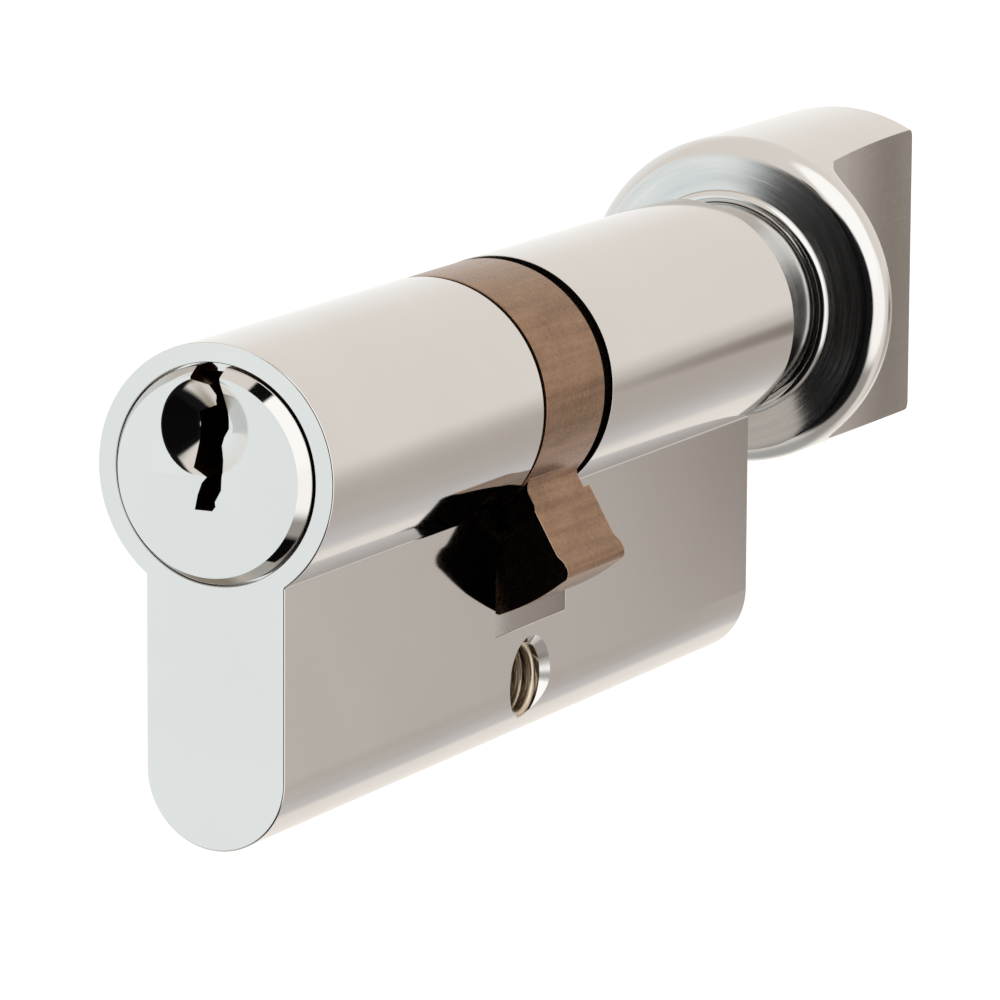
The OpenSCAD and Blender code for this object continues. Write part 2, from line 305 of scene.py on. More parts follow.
def makeSinter():
    # pressed powder metal: close grain, small pores, and drag lines that the die leaves along Y
    tree, enter, leave = groupWith(
        "sinter", [("Position", None), ("Grain", 2600.0), ("Pores", 0.5)], ["Tone", "Height", "Pore Mask"])
    position = enter.outputs["Position"]
    grain = noise(tree, position, enter.outputs["Grain"], 3.0, 0.7)
    cloud = noise(tree, position, 260.0, 4.0, 0.6)
    drag = noise(tree, position, 1500.0, 3.0, 0.6, stretch=(1.0, 0.05, 1.0))
    cell = tree.nodes.new("ShaderNodeTexVoronoi")
    cell.inputs["Scale"].default_value = 2400.0
    tree.links.new(position, cell.inputs["Vector"])
    cellMiddle = math2(tree, "SUBTRACT", 0.22, cell.outputs["Distance"], clamp=True)
    pore = math2(tree, "MULTIPLY", cellMiddle, 5.0, clamp=True)
    pore = math2(tree, "MULTIPLY", pore, enter.outputs["Pores"])
    tone = math2(tree, "ADD", math2(tree, "MULTIPLY", grain, 0.3), math2(tree, "MULTIPLY", cloud, 0.3))
    tone = math2(tree, "ADD", tone, math2(tree, "MULTIPLY", drag, 0.4))
    contrast = math2(tree, "MULTIPLY", math2(tree, "SUBTRACT", tone, 0.5), 2.2)
    tone = math2(tree, "ADD", contrast, 0.5, clamp=True)
    tree.links.new(tone, leave.inputs["Tone"])
    height = math2(tree, "SUBTRACT", math2(tree, "ADD", grain, math2(tree, "MULTIPLY", drag, 0.8)), pore)
    tree.links.new(height, leave.inputs["Height"])
    tree.links.new(pore, leave.inputs["Pore Mask"])
    return tree


aroundAxis = makeAroundAxis()
polish = makePolish()
edgeWearAndHighlight = makeEdgeWearAndHighlight()
sinter = makeSinter()


def startMaterial(name, metallic=1.0, specular=0.5):
    material = bpy.data.materials.new(name)
    material.use_nodes = True
    tree = material.node_tree
    shader = tree.nodes["Principled BSDF"]
    shader.inputs["Metallic"].default_value = metallic
    shader.inputs["Specular IOR Level"].default_value = specular
    place = tree.nodes.new("ShaderNodeTexCoord").outputs["Object"]
    return material, tree, shader, place


def addGroup(tree, group, position, **values):
    node = tree.nodes.new("ShaderNodeGroup")
    node.node_tree = group
    tree.links.new(position, node.inputs["Position"])
    for label, value in values.items():
        node.inputs[label.replace("_", " ")].default_value = value
    return node.outputs


def blendColour(tree, factor, a, b):
    node = tree.nodes.new("ShaderNodeMix")
    node.data_type = "RGBA"
    sockets = [s for s in node.inputs if s.type == "RGBA"]
    tree.links.new(factor, node.inputs[0])
    for socket, value in zip(sockets, (a, b)):
        if isinstance(value, tuple):
            socket.default_value = (*value, 1.0)
        else:
            tree.links.new(value, socket)
    return next(s for s in node.outputs if s.type == "RGBA")


def addBump(tree, shader, height, strength, distance):
    bump = tree.nodes.new("ShaderNodeBump")
    bump.inputs["Strength"].default_value = strength
    bump.inputs["Distance"].default_value = distance
    tree.links.new(height, bump.inputs["Height"])
    tree.links.new(bump.outputs[0], shader.inputs["Normal"])


def platedMetal(name, look):
    # polished plate: colour drifts a little, edges are lighter, partly rubbed wear and partly a painted
    # highlight
    material, tree, shader, place = startMaterial(name)
    around = place
    if look["around"]:
        around = addGroup(tree, aroundAxis, place)["Around"]
    fine = addGroup(tree, polish, around,
                    Base_Roughness=look["roughness"], Haze=look["haze"], Lines=look["lines"])
    edgeWearLit = addGroup(tree, edgeWearAndHighlight, place, Wear=look["wearAndHighlight"])
    tone = blendColour(tree, fine["Tone"], look["dark"], look["light"])
    colour = blendColour(tree, edgeWearLit["Mask"], tone, look["edge"])
    rough = fine["Roughness"]
    height = fine["Height"]
    if "smearedReflection" in look:
        # the disc's face keeps the marks of the lathe; grey rings painted into its colour are a painted
        # reflection, standing in for what it mirrors smeared round it, while roughness and bump follow the
        # real marks
        faced = tree.nodes.new("ShaderNodeAttribute")
        faced.attribute_name = "faced"
        rings = noise(tree, around, 420.0, 3.0, 0.6, stretch=(2.2, 0.0, 1.0))
        shade = math2(tree, "MULTIPLY", math2(tree, "SUBTRACT", rings, 0.42, clamp=True), 2.6, clamp=True)
        shade = math2(tree, "MULTIPLY", shade, faced.outputs["Fac"])
        colour = blendColour(tree, shade, colour, look["smearedReflection"])
        rough = math2(tree, "ADD", rough, math2(tree, "MULTIPLY", faced.outputs["Fac"], 0.1))
        deeper = math2(tree, "ADD", 1.0, math2(tree, "MULTIPLY", faced.outputs["Fac"], 4.0))
        height = math2(tree, "MULTIPLY", height, deeper)
    if "inner" in look:
        # bores, slots and gaps: bare brass colour darkened further as painted shade, and not polished
        bareAndShaded = tree.nodes.new("ShaderNodeAttribute")
        bareAndShaded.attribute_name = "inner"
        colour = blendColour(tree, bareAndShaded.outputs["Fac"], colour, look["inner"])
        rough = math2(tree, "ADD", rough, math2(tree, "MULTIPLY", bareAndShaded.outputs["Fac"], 0.25))
    tree.links.new(colour, shader.inputs["Base Color"])
    tree.links.new(rough, shader.inputs["Roughness"])
    addBump(tree, shader, height, look["bump"], 0.00001)
    return material


def sinteredMetal(name, look):
    material, tree, shader, place = startMaterial(name, metallic=look["metallic"])
    body = addGroup(tree, sinter, place, Pores=look["pores"])
    edgeWearLit = addGroup(tree, edgeWearAndHighlight, place, Wear=look["wearAndHighlight"])
    tone = blendColour(tree, body["Tone"], look["dark"], look["light"])
    tone = blendColour(tree, body["Pore Mask"], tone, look["pore"])
    # the flat front and back faces are coloured nearly black
    flatFaceDark = tree.nodes.new("ShaderNodeAttribute")
    flatFaceDark.attribute_name = "flatFace"
    tone = blendColour(tree, flatFaceDark.outputs["Fac"], tone, look["flatFaceDark"])
    # rounded edges are lightened: rubbed wear and a painted highlight
    colour = blendColour(tree, edgeWearLit["Mask"], tone, look["edge"])
    tree.links.new(colour, shader.inputs["Base Color"])
    rough = math2(tree, "ADD", math2(tree, "MULTIPLY", body["Tone"], look["roughSpread"]), look["roughness"])
    tree.links.new(rough, shader.inputs["Roughness"])
    addBump(tree, shader, body["Height"], look["bump"], 0.00003)
    return material


# edge is the lighter colour of rounded edges: rubbed wear and a painted highlight
plateLook = {"roughness": 0.035, "haze": 0.06, "lines": 0.03, "wearAndHighlight": 0.35, "bump": 0.05, "around": False,
             "dark": (0.635, 0.625, 0.61), "light": (0.70, 0.69, 0.675), "edge": (0.74, 0.73, 0.71)}
# the inner colours are bare brass darkened as painted shade in the bores, slots and gaps
housingLook = dict(plateLook, inner=(0.30, 0.19, 0.12))
plugLook = dict(plateLook, haze=0.04, around=True, inner=(0.22, 0.10, 0.048))
# the knob's last colour is a grey painted into the disc face in rings, as a painted reflection streak
knobLook = dict(plateLook, roughness=0.05, around=True, lines=0.09, bump=0.3, smearedReflection=(0.52, 0.53, 0.53))
brassLook = dict(plateLook, roughness=0.2, lines=0.08, dark=(0.52, 0.34, 0.15), light=(0.68, 0.48, 0.22),
                 edge=(0.8, 0.62, 0.34))
steelLook = dict(plateLook, roughness=0.22, haze=0.15, lines=0.12, dark=(0.34, 0.34, 0.35),
                 light=(0.48, 0.48, 0.49), edge=(0.6, 0.6, 0.6))
threadLook = dict(plateLook, roughness=0.32, haze=0.1, lines=0.0, bump=0.0, dark=(0.52, 0.38, 0.24),
                  light=(0.74, 0.68, 0.58), edge=(0.8, 0.74, 0.62))
camLook = {"metallic": 1.0, "roughness": 0.16, "roughSpread": 0.24, "pores": 0.6, "wearAndHighlight": 0.9, "bump": 0.8,
           "dark": (0.13, 0.064, 0.032), "light": (0.41, 0.252, 0.152), "edge": (0.80, 0.60, 0.46),
           # the last colour here is the near black given to the flat front and back faces
           "pore": (0.06, 0.035, 0.02), "flatFaceDark": (0.04, 0.025, 0.018)}

plate = platedMetal("nickelPlate", housingLook)
plugPlate = platedMetal("nickelPlugPlate", plugLook)
knobPlate = platedMetal("nickelKnobPlate", knobLook)
turnedBrass = platedMetal("turnedBrass", brassLook)
springSteel = platedMetal("springSteel", steelLook)
groundSteel = platedMetal("groundSteel", dict(steelLook, roughness=0.2, around=True))
cutThread = platedMetal("cutThread", threadLook)
sinteredBronze = sinteredMetal("sinteredBronze", camLook)
print("materials made")


# ---- housing: barrel and leg in one, with the cam slot, the bores and the fixing hole

housing = {"legWidth": 10.0, "neckRadius": 0.2, "slotWidth": 10.5, "slotFloor": -15.6, "edgeRadius": 0.1,
           "slotEdge": 0.06, "boreRadius": 6.55, "headBoreRadius": 7.2, "headBoreDepth": 0.8,
           "mouthBreak": 0.05, "screwHeight": -19.5, "screwRadius": 2.5, "sinkRadius": 3.05,
           "chamberRadius": 1.5, "chamberTop": -5.5, "chamberFoot": -26}


def profileOutline(barrelRadius, legBottom):
    half = housing["legWidth"] / 2
    neck = housing["neckRadius"]
    cornerX = half + neck
    cornerZ = -math.sqrt((barrelRadius + neck) ** 2 - cornerX ** 2)
    meet = math.degrees(math.atan2(-cornerZ, -cornerX))
    barrelStart = math.degrees(math.atan2(cornerZ, cornerX))
    right = arc(cornerX, cornerZ, neck, 180, meet, 8)
    top = arc(0, 0, barrelRadius, barrelStart, 180 - barrelStart, 168)
    left = [(-u, v) for u, v in reversed(right)]
    foot = arc(0, legBottom + half, half, 180, 360, 64)
    return right[:-1] + top + left[1:] + foot


def mouthTool(name, radius, faceY, innerY, outward):
    # cuts a bore from its mouth at faceY to innerY, with the mouth's edge broken
    edge = housing["mouthBreak"]
    return turned(name, [(0, faceY + outward), (radius + edge + 1, faceY + outward),
                         (radius, faceY - outward * edge), (radius, innerY), (0, innerY)])


def makeHousing():
    low, high = boxMm("body")
    slotY = housing["slotWidth"] / 2
    piece = extruded("housingShell", profileOutline(high.z, low.z), low.y, high.y)
    breakEdges(piece, housing["edgeRadius"])
    combine(piece, [block("slot", (-20, -slotY, housing["slotFloor"]), (20, slotY, 20))])
    breakEdges(piece, housing["slotEdge"], 2, 38, lambda p: abs(p.y) < slotY + 0.1)
    headEnd = low.y + housing["headBoreDepth"]
    bore = housing["boreRadius"]
    tools = [mouthTool("headBore", housing["headBoreRadius"], low.y, headEnd, -1),
             mouthTool("plugBore", bore, -slotY, low.y + 0.2, 1),
             mouthTool("spindleBoreIn", bore, slotY, high.y - 3, -1),
             mouthTool("spindleBoreOut", bore, high.y, high.y - 4, 1)]
    for k in range(1, 6):
        pin, far = boxMm(f"chamber_plug_{k}")
        middle = (pin + far) / 2
        r, top, foot = housing["chamberRadius"], -housing["chamberTop"], -housing["chamberFoot"]
        tools.append(standing(f"chamber{k}", [(0, top), (r, top), (r, foot), (0, foot)], 0, middle.y))
    half = housing["legWidth"] / 2
    sink, hole = housing["sinkRadius"], housing["screwRadius"]
    depth = half - (sink - hole)
    section = [(0, -half - 1), (sink + 1, -half - 1), (hole, -depth), (hole, depth),
               (sink + 1, half + 1), (0, half + 1)]
    tools.append(turnAndMove(turned("fixingHole", section), "Z", -90, (0, 0, housing["screwHeight"])))
    combine(piece, tools)
    bareShadeRadius, chamber = housing["headBoreRadius"] + 0.01, housing["chamberRadius"] + 0.01
    # bore walls and pin chambers get the dark inner colour: bare brass and painted shade
    markFaces(piece, "inner", lambda c, n: (
        abs(n.y) < 0.5 and math.hypot(c.x, c.z) < bareShadeRadius and abs(c.y) > slotY - 0.01
        or c.z < -8 and abs(c.x) < chamber and abs(n.y) + abs(n.x) > 0.5 and low.y + 1 < c.y < -10))
    # the slot's far wall gets part of the dark inner colour, as painted shade
    markFaces(piece, "inner", lambda c, n: abs(c.y - slotY) < 0.01 and abs(n.y) > 0.9, 0.4)
    finishPiece(piece, plate)
    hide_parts("body")
    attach(piece, "housing")
    return piece


makeHousing()
print("housing made")


# ---- coils and threads: a wire wound into a helix, by Geometry Nodes

def coilTree(name, material):
    tree = bpy.data.node_groups.new(name, "GeometryNodeTree")
    tree.is_modifier = True
    for label, kind in (("Turns", "Float"), ("Coil Radius", "Float"), ("Height", "Float"),
                        ("Wire Radius", "Float"), ("Sides", "Int"), ("Dead Turns", "Float"),
                        ("Place", "Vector"), ("Turn", "Vector")):
        tree.interface.new_socket(name=label, in_out="INPUT", socket_type="NodeSocket" + kind)
    tree.interface.new_socket(name="Geometry", in_out="OUTPUT", socket_type="NodeSocketGeometry")
    enter = tree.nodes.new("NodeGroupInput").outputs
    leave = tree.nodes.new("NodeGroupOutput")
    link = tree.links.new
    helix = tree.nodes.new("GeometryNodeCurveSpiral")
    helix.inputs["Resolution"].default_value = 36
    link(enter["Turns"], helix.inputs["Rotations"])
    link(enter["Coil Radius"], helix.inputs["Start Radius"])
    link(enter["Coil Radius"], helix.inputs["End Radius"])
    link(enter["Height"], helix.inputs["Height"])
    # the dead turns at both ends lie close together, as on a ground spring
    along = tree.nodes.new("GeometryNodeSplineParameter").outputs["Factor"]
    turnsDone = math2(tree, "MULTIPLY", along, enter["Turns"])
    dead = enter["Dead Turns"]
    pitchDead = math2(tree, "MULTIPLY", enter["Wire Radius"], 2.1)
    live = math2(tree, "SUBTRACT", enter["Turns"], math2(tree, "MULTIPLY", dead, 2.0))
    first = math2(tree, "MULTIPLY", math2(tree, "MINIMUM", turnsDone, dead), pitchDead)
    lastStart = math2(tree, "ADD", dead, live)
    lastTurns = math2(tree, "MAXIMUM", math2(tree, "SUBTRACT", turnsDone, lastStart), 0.0)
    last = math2(tree, "MULTIPLY", lastTurns, pitchDead)
    share = math2(tree, "DIVIDE", math2(tree, "SUBTRACT", turnsDone, dead), live, clamp=True)
    deadHeight = math2(tree, "MULTIPLY", math2(tree, "MULTIPLY", dead, 2.0), pitchDead)
    liveHeight = math2(tree, "SUBTRACT", enter["Height"], deadHeight)
    height = math2(tree, "ADD", math2(tree, "ADD", first, last), math2(tree, "MULTIPLY", share, liveHeight))
    here = tree.nodes.new("GeometryNodeInputPosition").outputs[0]
    parts = tree.nodes.new("ShaderNodeSeparateXYZ")
    join = tree.nodes.new("ShaderNodeCombineXYZ")
    link(here, parts.inputs[0])
    link(parts.outputs[0], join.inputs[0])
    link(parts.outputs[1], join.inputs[1])
    link(height, join.inputs[2])
    move = tree.nodes.new("GeometryNodeSetPosition")
    link(helix.outputs[0], move.inputs["Geometry"])
    link(join.outputs[0], move.inputs["Position"])
    level = tree.nodes.new("GeometryNodeSetCurveNormal")
    level.mode = "Z_UP"
    link(move.outputs[0], level.inputs[0])
    wire = tree.nodes.new("GeometryNodeCurvePrimitiveCircle")
    link(enter["Sides"], wire.inputs["Resolution"])
    link(enter["Wire Radius"], wire.inputs["Radius"])
    sweep = tree.nodes.new("GeometryNodeCurveToMesh")
    sweep.inputs["Fill Caps"].default_value = True
    link(level.outputs[0], sweep.inputs["Curve"])
    link(wire.outputs[0], sweep.inputs["Profile Curve"])
    stand = tree.nodes.new("GeometryNodeTransform")
    link(sweep.outputs[0], stand.inputs["Geometry"])
    link(enter["Place"], stand.inputs["Translation"])
    link(enter["Turn"], stand.inputs["Rotation"])
    real = tree.nodes.new("GeometryNodeRealizeInstances")
    link(stand.outputs[0], real.inputs[0])
    finish = tree.nodes.new("GeometryNodeSetMaterial")
    finish.inputs["Material"].default_value = material
    link(real.outputs[0], finish.inputs["Geometry"])
    link(finish.outputs[0], leave.inputs[0])
    return tree


def coilPiece(name, tree, values, smooth=True):
    holder = bpy.data.objects.new(name + "Holder", bpy.data.meshes.new(name + "Holder"))
    bpy.context.scene.collection.objects.link(holder)
    step = holder.modifiers.new("coil", "NODES")
    step.node_group = tree
    sockets = {s.name: s.identifier for s in tree.interface.items_tree if s.in_out == "INPUT"}
    for label, value in values.items():
        step[sockets[label]] = value
    graph = bpy.context.evaluated_depsgraph_get()
    mesh = bpy.data.meshes.new_from_object(
        holder.evaluated_get(graph), preserve_all_data_layers=True, depsgraph=graph)
    mesh.name = name
    bpy.data.objects.remove(holder)
    work = bmesh.new()
    work.from_mesh(mesh)
    bmesh.ops.remove_doubles(work, verts=work.verts, dist=1e-8)
    bmesh.ops.recalc_face_normals(work, faces=work.faces)
    work.to_mesh(mesh)
    work.free()
    if smooth:
        mesh.shade_smooth()
        mesh.set_sharp_from_angle(angle=math.radians(50))
    piece = bpy.data.objects.new(name, mesh)
    bpy.context.scene.collection.objects.link(piece)
    return piece


springs = {"pinWire": 0.17, "pinTurns": 9.0, "clutchWire": 0.17, "clutchTurns": 7.0, "sides": 12}
springTree = coilTree("springCoil", springSteel)


def springCoil(name, turns, wire, width, length, place, turnTo=(0.0, 0.0, 0.0)):
    # width and length are measured over the wire; one turn at each end is dead
    return coilPiece(name, springTree, {
        "Turns": turns, "Coil Radius": width / 2 - wire, "Height": length - 2 * wire, "Wire Radius": wire,
        "Sides": springs["sides"], "Dead Turns": 1.0, "Place": place, "Turn": turnTo})


def makePinSprings():
    wire = springs["pinWire"] / toMm
    for k in range(1, 6):
        low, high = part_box(f"pin_spring_{k}")
        middle = (low.y + high.y) / 2
        spring = springCoil(f"pinSpring{k}", springs["pinTurns"], wire, high.x - low.x, high.z - low.z,
                            (0.0, middle, low.z + wire))
        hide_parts(f"pin_spring_{k}")
        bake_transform(spring)


def makeClutchSpring():
    wire = springs["clutchWire"] / toMm
    low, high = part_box("clutch_spring")
    spring = springCoil("clutchSpring", springs["clutchTurns"], wire, high.x - low.x, high.y - low.y,
                        (0.0, low.y + wire, 0.0), (math.radians(-90), 0.0, 0.0))
    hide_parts("clutch_spring")
    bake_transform(spring)


thread = {"pitch": 0.8, "ridge": 0.42, "sunk": 0.04, "halfLength": 4.05, "sides": 4}


def makeThread():
    # a four-sided wire, sunk into the hole's wall so that only its ridge shows
    half = thread["halfLength"]
    ridge = coilPiece("fixingThread", coilTree("threadRidge", cutThread), {
        "Turns": 2 * half / thread["pitch"], "Coil Radius": (housing["screwRadius"] + thread["sunk"]) / toMm,
        "Height": 2 * half / toMm, "Wire Radius": thread["ridge"] / toMm, "Sides": thread["sides"],
        "Dead Turns": 0.0, "Place": (-half / toMm, 0.0, housing["screwHeight"] / toMm),
        "Turn": (0.0, math.radians(90), 0.0)}, smooth=False)
    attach(ridge, "housing")


makePinSprings()
makeClutchSpring()
makeThread()
print("springs and thread made")


# ---- key plug: turned head and core, keyway, guide hollow, pin chambers, slot for the clutch

plug = {"radius": 6.5, "headRadius": 7.05, "faceRadius": 6.5, "headRise": 0.12,
        "guideX": -0.1, "guideZ": 3.15, "guideRadius": 3.2, "guideDepth": 1.25,
        "clutchBore": 3.1, "clutchBoreY": -10.0, "slotY": -3.4, "slotWidth": 3.15,
        "grooveRadius": 5.85, "grooveY": -5.225, "grooveWidth": 0.95, "tailBreak": 0.15,
        "chamberTop": 2.0, "chamberFoot": 8}
keywayOutline = [(-0.9, -2.15), (0.35, -2.15), (0.6, -1.85), (0.55, -1.55), (1.0, -0.75), (1.05, 0.4),
                 (0.85, 1.1), (0.45, 1.9), (0.55, 2.4), (0.9, 3.0), (0.9, 7.5), (-1.2, 7.5),
                 (-1.2, 6.2), (0.0, 5.9), (0.3, 5.2), (0.1, 4.5), (-1.15, 4.0), (-1.1, 0.5),
                 (-0.05, 0.0), (-0.4, -0.4), (-0.7, -1.2)]


def makePlug():
    low, high = boxMm("key_plug")
    bodyFace = boxMm("body")[0].y
    headBack = bodyFace + housing["headBoreDepth"] - 0.05
    r = plug["radius"]
    groove, width = plug["grooveY"], plug["grooveWidth"]
    face, head, proud = plug["faceRadius"], plug["headRadius"], bodyFace - low.y
    rise = plug["headRise"]
    cone = [(face + (head - face) * t, low.y + (proud - rise) * t) for t in (0.12, 0.2, 0.55, 0.85, 0.93)]
    section = [(0, low.y), (face, low.y)] + cone + [
        (head - 0.01, bodyFace - rise - 0.01), (head, bodyFace - rise + 0.03), (head, bodyFace + 0.05),
        (head, headBack), (r, headBack), (r, groove), (plug["grooveRadius"], groove),
        (plug["grooveRadius"], groove + width), (r, groove + width),
        (r, high.y - plug["tailBreak"]), (r - plug["tailBreak"], high.y),
        (plug["clutchBore"], high.y), (plug["clutchBore"], plug["clutchBoreY"]), (0, plug["clutchBoreY"])]
    piece = turned("keyPlug", section)
    keyway = extruded("keyway", keywayOutline, low.y - 1, plug["clutchBoreY"] + 0.5)
    depth, outer = plug["guideDepth"], plug["guideRadius"]
    slope = [(outer + 0.1, 0), (outer, 0.02), (outer - 0.12, 0.07), (outer - 0.3, 0.17), (1.35, depth - 0.13),
             (1.05, depth - 0.03), (0.6, depth), (0, depth)]
    guide = turned("guide", [(0, -0.2), (outer + 0.1, -0.2)] + slope, 96)
    turnAndMove(guide, "Y", 0, (plug["guideX"], low.y, plug["guideZ"]))
    tools = [guide, keyway]
    for k in range(1, 6):
        pinLow, pinHigh = boxMm(f"key_pin_{k}")
        y = (pinLow.y + pinHigh.y) / 2
        hole, top, foot = housing["chamberRadius"], -plug["chamberTop"], plug["chamberFoot"]
        tools.append(standing(f"chamber{k}", [(0, top), (hole, top), (hole, foot), (0, foot)], 0, y))
    half = plug["slotWidth"] / 2
    tools.append(block("clutchSlot", (-8, plug["slotY"], -half), (8, high.y + 1, half)))
    combine(piece, tools)
    headFoot, bowlBack = bodyFace + 0.03, low.y + plug["guideDepth"] + 0.1
    # the plug's sides inside the body and its deep keyway and chamber walls get the dark inner colour: bare
    # brass and painted shade
    markFaces(piece, "inner", lambda c, n: (
        c.y > headFoot and math.hypot(c.x, c.z) > plug["radius"] - 0.01 or c.y > bowlBack and abs(n.y) < 0.3))
    finishPiece(piece, plugPlate)
    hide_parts("key_plug")
    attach(piece, "plug")


makePlug()
print("key plug made")


# ---- cam: ring and lever in sintered bronze

cam = {"angle": 30.0, "halfWidth": 3.05, "swell": 0.25, "tipRadius": 15.0, "cornerRadius": 0.8,
       "leverRoot": 7.7, "filletRadius": 1.0, "facet": 0.3, "neckEnd": 9.8, "neckRamp": 0.7,
       "frontStep": 0.5, "backStep": 0.9, "edge": 0.16, "ringRadius": 8.45, "boreRadius": 6.6,
       "boreBreak": 0.1, "webRadius": 5.2, "webFront": -1.0, "webBack": 1.2, "ringSeat": 7.6,
       "ringSeatDepth": 0.6, "slotWidth": 3.15}


def leverOutline():
    half, swell, tip = cam["halfWidth"], cam["swell"], cam["tipRadius"]
    corner = arc(half - 0.55, tip - 0.95, cam["cornerRadius"], -10, 62, 8)
    rise = [(half + swell * (1 - math.cos(math.pi * t / 8)) / 2, tip - 2.1 + 0.9 * t / 8) for t in range(8)]
    crown = [(u, math.sqrt(tip ** 2 - u ** 2)) for u in (2.1, 1.6, 1.1, 0.6)]
    fillet, ring = cam["filletRadius"], cam["ringRadius"]
    centreU = half + fillet
    centreV = math.sqrt((ring + fillet) ** 2 - centreU ** 2)
    touch = math.degrees(math.atan2(-centreV, -centreU))
    root = [(centreU - 1.2 * fillet, cam["leverRoot"])]
    right = root + arc(centreU, centreV, fillet, touch, -180, 8) + rise + corner + crown
    return right + [(0, tip)] + [(-u, v) for u, v in reversed(right)]


def makeCam():
    low, high = boxMm("cam")
    lever = extruded("lever", leverOutline(), low.y, high.y)
    edge = cam["edge"]
    neck, ramp = cam["neckEnd"], cam["neckRamp"]
    front, back = low.y + cam["frontStep"], high.y - cam["backStep"]
    for side in (-4, 4):
        # the front falls away a little on both sides of the middle, like a low roof
        wedge = [(0, low.y - 1), (side, low.y - 1), (side, low.y + cam["facet"]), (0, low.y)]
        combine(lever, [extruded("facet", wedge, 4, 17, "Z")])
    breakEdges(lever, edge, 3, 30)
    combine(lever, [turned("frontNeck", [(0, low.y - 1), (neck + ramp + 0.2, low.y - 1), (neck + ramp, low.y),
                                         (neck, front), (0, front)]),
                    turned("backNeck", [(0, back), (neck, back), (neck, high.y + 1), (0, high.y + 1)])])
    breakEdges(lever, edge * 0.6, 2, 40,
               lambda p: math.hypot(p.x, p.z) < neck + ramp and abs(p.y) > 2 and p.z > 6.5)
    lever.data.transform(Matrix.Rotation(math.radians(180 - cam["angle"]), 4, "Y"))
    r, bore, web = cam["ringRadius"], cam["boreRadius"], cam["webRadius"]
    seat, seatEnd = cam["ringSeat"], low.y + cam["ringSeatDepth"]
    cut, broken = edge * 0.3, cam["boreBreak"]
    section = [(seat, low.y), (r - edge, low.y), (r - cut, low.y + cut), (r, low.y + edge),
               (r, high.y - edge), (r - cut, high.y - cut), (r - edge, high.y),
               (bore + broken, high.y), (bore, high.y - broken), (bore, cam["webBack"]),
               (web, cam["webBack"]), (web, cam["webFront"]), (bore, cam["webFront"]),
               (bore, seatEnd), (seat, seatEnd)]
    piece = turned("camRing", section)
    combine(piece, [lever], "UNION")
    half = cam["slotWidth"] / 2
    slotLow = (-bore, cam["webFront"] - 0.1, -half)
    slotHigh = (bore, cam["webBack"] + 0.1, half)
    combine(piece, [block("crossSlot", slotLow, slotHigh)])
    # the flat front and back faces, coloured nearly black by the material
    markFaces(piece, "flatFace", lambda c, n: abs(n.y) > 0.6)
    finishPiece(piece, sinteredBronze)
    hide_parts("cam")
    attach(piece, "cam")


makeCam()
print("cam made")


# ---- thumbturn: spindle with its collar, and the knob with a dished disc and a flat blade

turn = {"spindleRadius": 6.5, "collarRadius": 7.5, "collarGap": 0.15, "collarEnd": 6.9,
        "collarBreak": 0.15, "shaftRadius": 4.0, "shaftLength": 14.0, "shaftBreak": 0.4, "tailY": 1.3,
        "barY": 0.2, "barWidth": 3.0, "barHalf": 6.3, "grooveY": 4.225, "grooveWidth": 0.95,
        "grooveRadius": 5.85, "grubY": 16.85, "grubHole": 2.1, "grubSeat": 0.8}
knob = {"radius": 12.0, "length": 27.4, "rimY": 6.85, "rootY": 7.0, "lipY": 6.4, "lean": 13,
        "lipRadius": 7.75, "lipRound": 0.6, "discThickness": 2.55, "rimRound": 1.9, "backRound": 0.2,
        "bladeHalf": 5.6, "bladeFlare": 0.65, "fillet": 2.4, "bladeEdge": 0.5, "boreRadius": 4.05,
        "grubHole": 2.05}


def makeSpindle():
    face = boxMm("body")[1].y
    r, groove, width = turn["spindleRadius"], turn["grooveY"], turn["grooveWidth"]
    collarEnd = face + turn["collarEnd"]
    collar, broken = turn["collarRadius"], turn["collarBreak"]
    shaft, shaftEnd, taper = turn["shaftRadius"], collarEnd + turn["shaftLength"], turn["shaftBreak"]
    section = [(0, turn["tailY"]), (r - 0.1, turn["tailY"]), (r, turn["tailY"] + 0.1), (r, groove),
               (turn["grooveRadius"], groove), (turn["grooveRadius"], groove + width), (r, groove + width),
               (r, face + turn["collarGap"]), (collar, face + turn["collarGap"]),
               (collar, collarEnd - broken), (collar - broken, collarEnd), (shaft, collarEnd),
               (shaft, shaftEnd - taper), (shaft - taper, shaftEnd), (0, shaftEnd)]
    piece = turned("turnSpindle", section)
    half = turn["barWidth"] / 2
    bar = block("bar", (-turn["barHalf"], turn["barY"], -half), (turn["barHalf"], turn["tailY"] + 0.2, half))
    breakEdges(bar, 0.1, 2, 40, lambda p: p.y < turn["tailY"])
    combine(piece, [bar], "UNION")
    deep, top, hole = shaft + 1, shaft - turn["grubSeat"], turn["grubHole"]
    combine(piece, [standing("grubSeat", [(0, top), (hole, top), (hole, deep), (0, deep)],
                             0, face + turn["grubY"])])
    finishPiece(piece, knobPlate)
    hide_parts("turn_spindle")
    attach(piece, "thumbturn")


